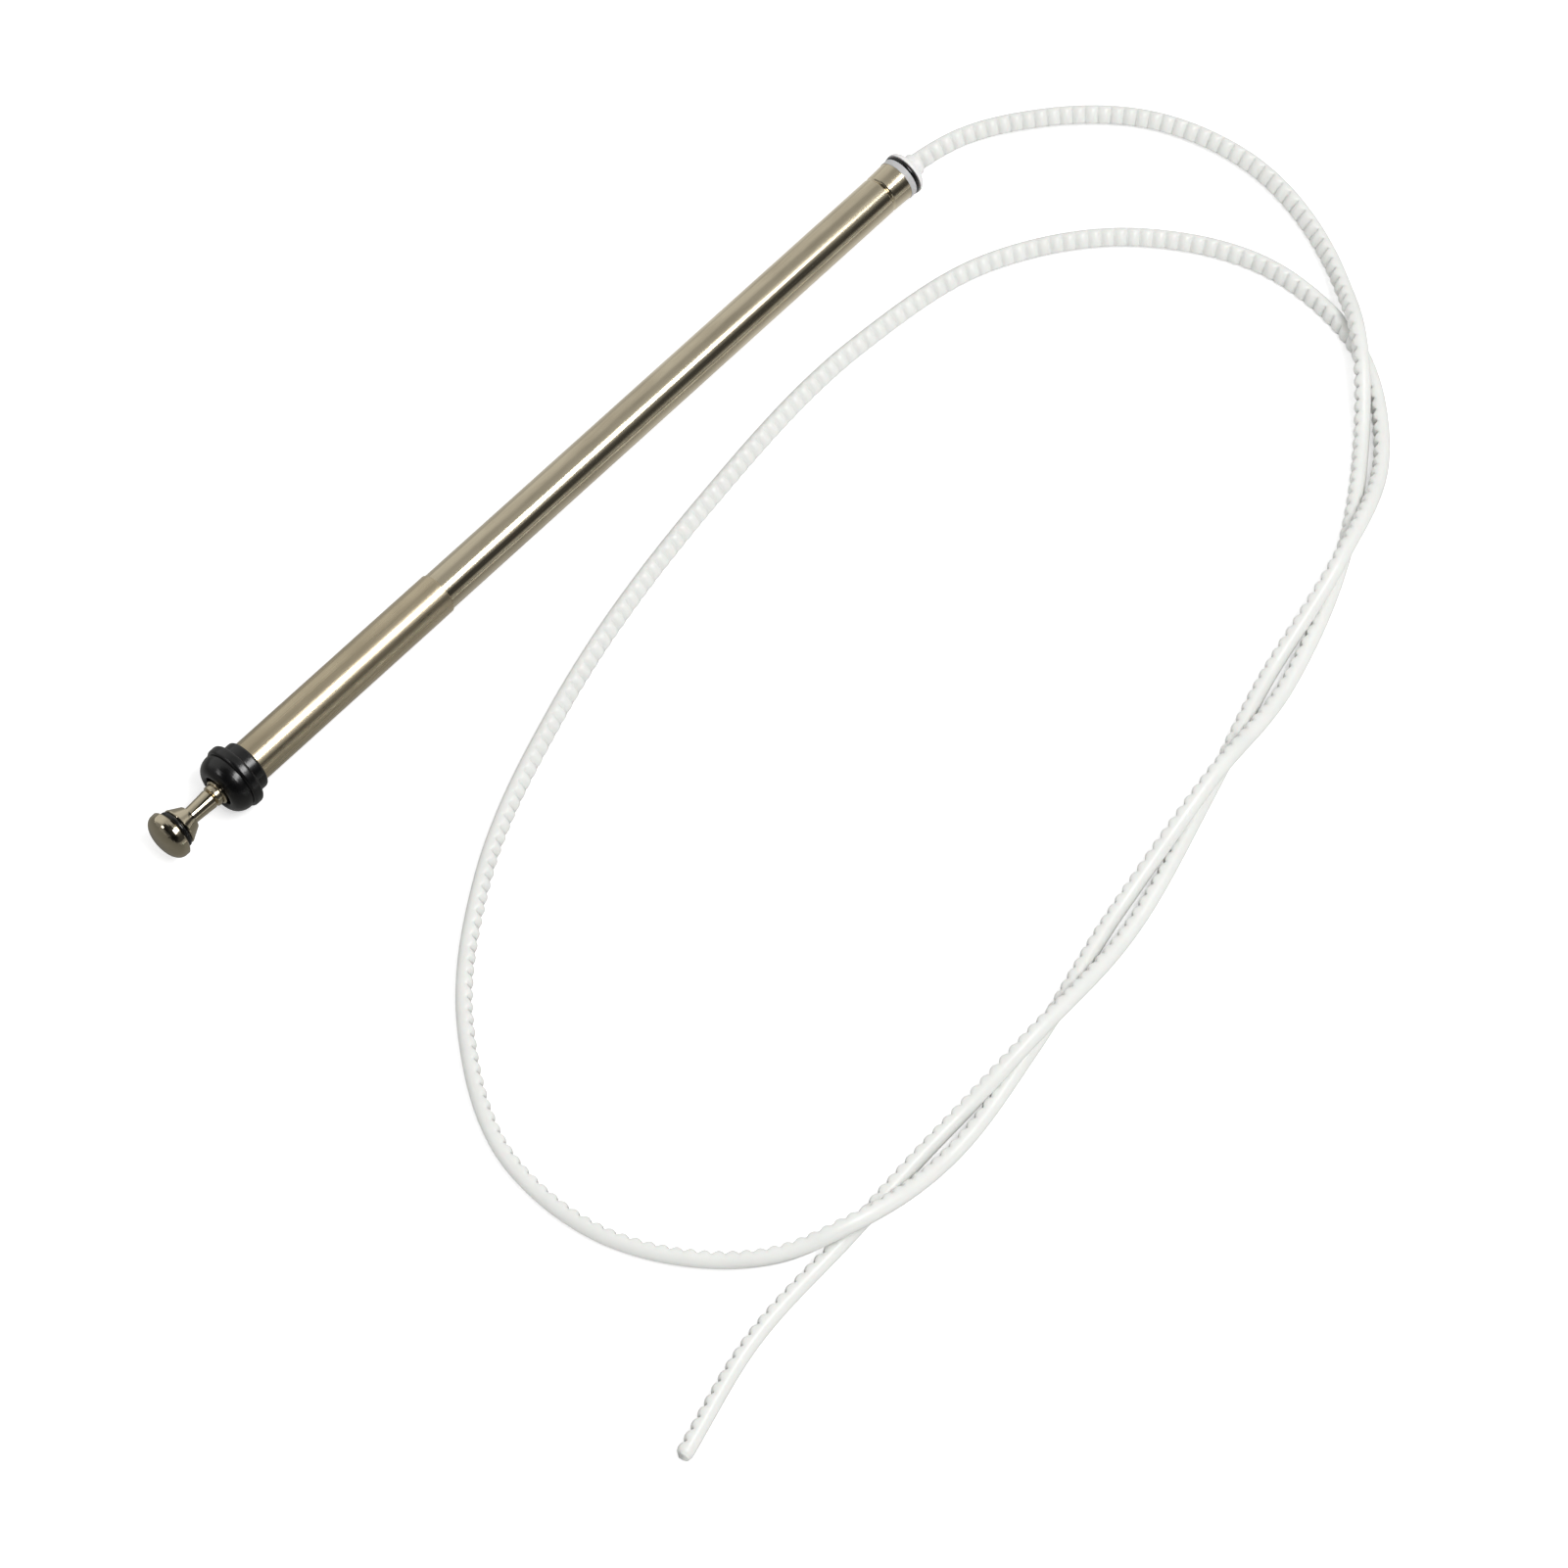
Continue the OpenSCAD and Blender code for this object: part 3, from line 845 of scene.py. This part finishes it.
def room_world(levels):
    """White to the camera and plain to dull surfaces. The metal mirrors a room that is pale overhead and at
    the far side, and dark low on the camera's side and over the tip."""
    world = bpy.data.worlds.new("room")
    world.use_nodes = True
    world.node_tree.nodes.clear()
    w = Wiring(world.node_tree)
    way = w.add("ShaderNodeTexCoord").outputs["Generated"]
    parts = w.add("ShaderNodeSeparateXYZ", {"Vector": way})
    turn = w.maths("ARCTAN2", parts.outputs["Z"], parts.outputs["Y"])
    share = w.maths("DIVIDE", turn, math.pi)
    stops = [(degrees / 180.0, (level, level, level * ROOM_BLUE)) for degrees, level in ROOM_LEVELS]
    seen = w.ramp(w.maths("ABSOLUTE", share), stops, "EASE")
    toward_gap = w.vector("DOT_PRODUCT", way, GAP_WAY)
    gap = w.maths(
        "MULTIPLY",
        w.remap(toward_gap, 0.64, 0.76, 1.0, 0.06),
        w.remap(parts.outputs["X"], 0.3, 0.6, 1.0, 0.35),
    )
    light = w.add("ShaderNodeLightPath")
    plain = w.add("ShaderNodeBackground", {"Color": (1.0, 1.0, 1.0, 1.0), "Strength": levels.room})
    mirrored = w.add("ShaderNodeBackground", {"Color": seen, "Strength": gap})
    shown = w.add("ShaderNodeBackground", {"Color": (1.0, 1.0, 1.0, 1.0), "Strength": 1.0})
    lit = w.add("ShaderNodeMixShader", {0: light.outputs["Is Glossy Ray"]})
    w.tree.links.new(plain.outputs[0], lit.inputs[1])
    w.tree.links.new(mirrored.outputs[0], lit.inputs[2])
    passed = w.maths("MAXIMUM", light.outputs["Is Camera Ray"], light.outputs["Is Transmission Ray"])
    final = w.add("ShaderNodeMixShader", {0: passed})
    w.tree.links.new(lit.outputs[0], final.inputs[1])
    w.tree.links.new(shown.outputs[0], final.inputs[2])
    output = w.add("ShaderNodeOutputWorld")
    w.tree.links.new(final.outputs[0], output.inputs["Surface"])
    return world


def table_material(levels):
    """A white table that glows enough to show as white and keeps shadows. In the metal it is grey: darker
    at a shallow angle and toward the tip, and lighter on the far side."""
    material = bpy.data.materials.new("white_table")
    material.use_nodes = True
    material.node_tree.nodes.clear()
    w = Wiring(material.node_tree)
    light = w.add("ShaderNodeLightPath")
    shallow = w.add("ShaderNodeLayerWeight", {"Blend": 0.5}).outputs["Facing"]
    steep = w.maths("SUBTRACT", 1.0, shallow)
    place = w.add("ShaderNodeSeparateXYZ", {"Vector": w.add("ShaderNodeTexCoord").outputs["Object"]})
    far_side = w.remap(place.outputs["Y"], -0.02, 0.01, 0.3, 0.0)
    toward_tip = w.remap(place.outputs["X"], -0.07, 0.10, 1.05, 0.28)
    past_tip = w.remap(place.outputs["X"], 0.116, 0.13, 1.0, 0.4)
    fade = w.maths("MULTIPLY", toward_tip, past_tip)
    by_angle = w.remap(steep, 0.0, 1.0, 0.0, 0.52)
    lit = w.maths("MULTIPLY", w.maths("ADD", by_angle, far_side), fade)
    mirrored = w.maths("MULTIPLY", lit, light.outputs["Is Glossy Ray"])
    direct = w.maths("MAXIMUM", light.outputs["Is Camera Ray"], light.outputs["Is Transmission Ray"])
    strength = w.maths("ADD", w.maths("MULTIPLY", direct, levels.table_glow), mirrored)
    glow = w.add("ShaderNodeEmission", {"Color": (1.0, 1.0, 1.0, 1.0), "Strength": strength})
    dull = w.add("ShaderNodeBsdfDiffuse")
    shade = w.mix(light.outputs["Is Glossy Ray"], (0.85, 0.85, 0.85, 1.0), (0.12, 0.12, 0.11, 1.0))
    w.set(dull, "Color", shade)
    both = w.add("ShaderNodeAddShader")
    w.tree.links.new(glow.outputs[0], both.inputs[0])
    w.tree.links.new(dull.outputs[0], both.inputs[1])
    output = w.add("ShaderNodeOutputMaterial")
    w.tree.links.new(both.outputs[0], output.inputs["Surface"])
    return material


def aimed_light(name, place, target, power, size, size_y):
    """A soft box at a place, turned to a target."""
    data = bpy.data.lights.new(name, "AREA")
    data.shape = "RECTANGLE"
    data.size, data.size_y, data.energy = size, size_y, power
    lamp = bpy.data.objects.new(name, data)
    lamp.location = place
    lamp.rotation_euler = (Vector(target) - Vector(place)).to_track_quat("-Z", "Y").to_euler()
    bpy.context.scene.collection.objects.link(lamp)


class AERIAL_OT_studio(bpy.types.Operator):
    """Sets up the white table, the room and the lights"""

    bl_idname = "aerial.studio"
    bl_label = "Studio"

    def execute(self, context):
        levels = context.scene.aerial_studio
        mesh = bpy.data.meshes.new("table")
        corners = [(x * TABLE_HALF, y * TABLE_HALF, 0) for x, y in ((-1, -1), (1, -1), (1, 1), (-1, 1))]
        mesh.from_pydata(corners, [], [(0, 1, 2, 3)])
        mesh.materials.append(table_material(levels))
        table = bpy.data.objects.new("table", mesh)
        context.scene.collection.objects.link(table)
        context.scene.world = room_world(levels)
        aimed_light(
            "key_light",
            place=(-0.25, 0.74, 1.45),
            target=(0.0, 0.0, 0.0),
            power=levels.key,
            size=1.0,
            size_y=0.55,
        )
        aimed_light(
            "side_light",
            place=(1.30, -0.86, 1.15),
            target=(0.1, 0.0, 0.0),
            power=levels.side,
            size=0.5,
            size_y=0.4,
        )
        context.scene.view_settings.view_transform = "Standard"
        return {"FINISHED"}


class AERIAL_PT_panel(bpy.types.Panel):
    """The steps that dress the mast, with its sizes, colours and light levels"""

    bl_idname = "AERIAL_PT_panel"
    bl_label = "Mast aerial"
    bl_space_type = "VIEW_3D"
    bl_region_type = "UI"
    bl_category = "Mast aerial"

    def draw(self, context):
        layout = self.layout
        for operator in STEPS:
            layout.operator(operator.bl_idname)
        for group in ("aerial_cable", "aerial_colours", "aerial_studio"):
            settings = getattr(context.scene, group)
            box = layout.box()
            for name in type(settings).__annotations__:
                box.prop(settings, name)


STEPS = (
    AERIAL_OT_view,
    AERIAL_OT_drive_cable,
    AERIAL_OT_nickel,
    AERIAL_OT_works,
    AERIAL_OT_rubber,
    AERIAL_OT_base,
    AERIAL_OT_studio,
)
CLASSES = (CableSizes, FinishColours, StudioLevels, *STEPS, AERIAL_PT_panel)


def register():
    for cls in CLASSES:
        bpy.utils.register_class(cls)
    bpy.types.Scene.aerial_cable = bpy.props.PointerProperty(type=CableSizes)
    bpy.types.Scene.aerial_colours = bpy.props.PointerProperty(type=FinishColours)
    bpy.types.Scene.aerial_studio = bpy.props.PointerProperty(type=StudioLevels)


def unregister():
    for name in ("aerial_cable", "aerial_colours", "aerial_studio"):
        delattr(bpy.types.Scene, name)
    for cls in reversed(CLASSES):
        bpy.utils.unregister_class(cls)


def main():
    register()
    for operator in STEPS:
        category, name = operator.bl_idname.split(".")
        getattr(getattr(bpy.ops, category), name)()
    bpy.context.view_layer.update()


if __name__ == "__main__":
    main()
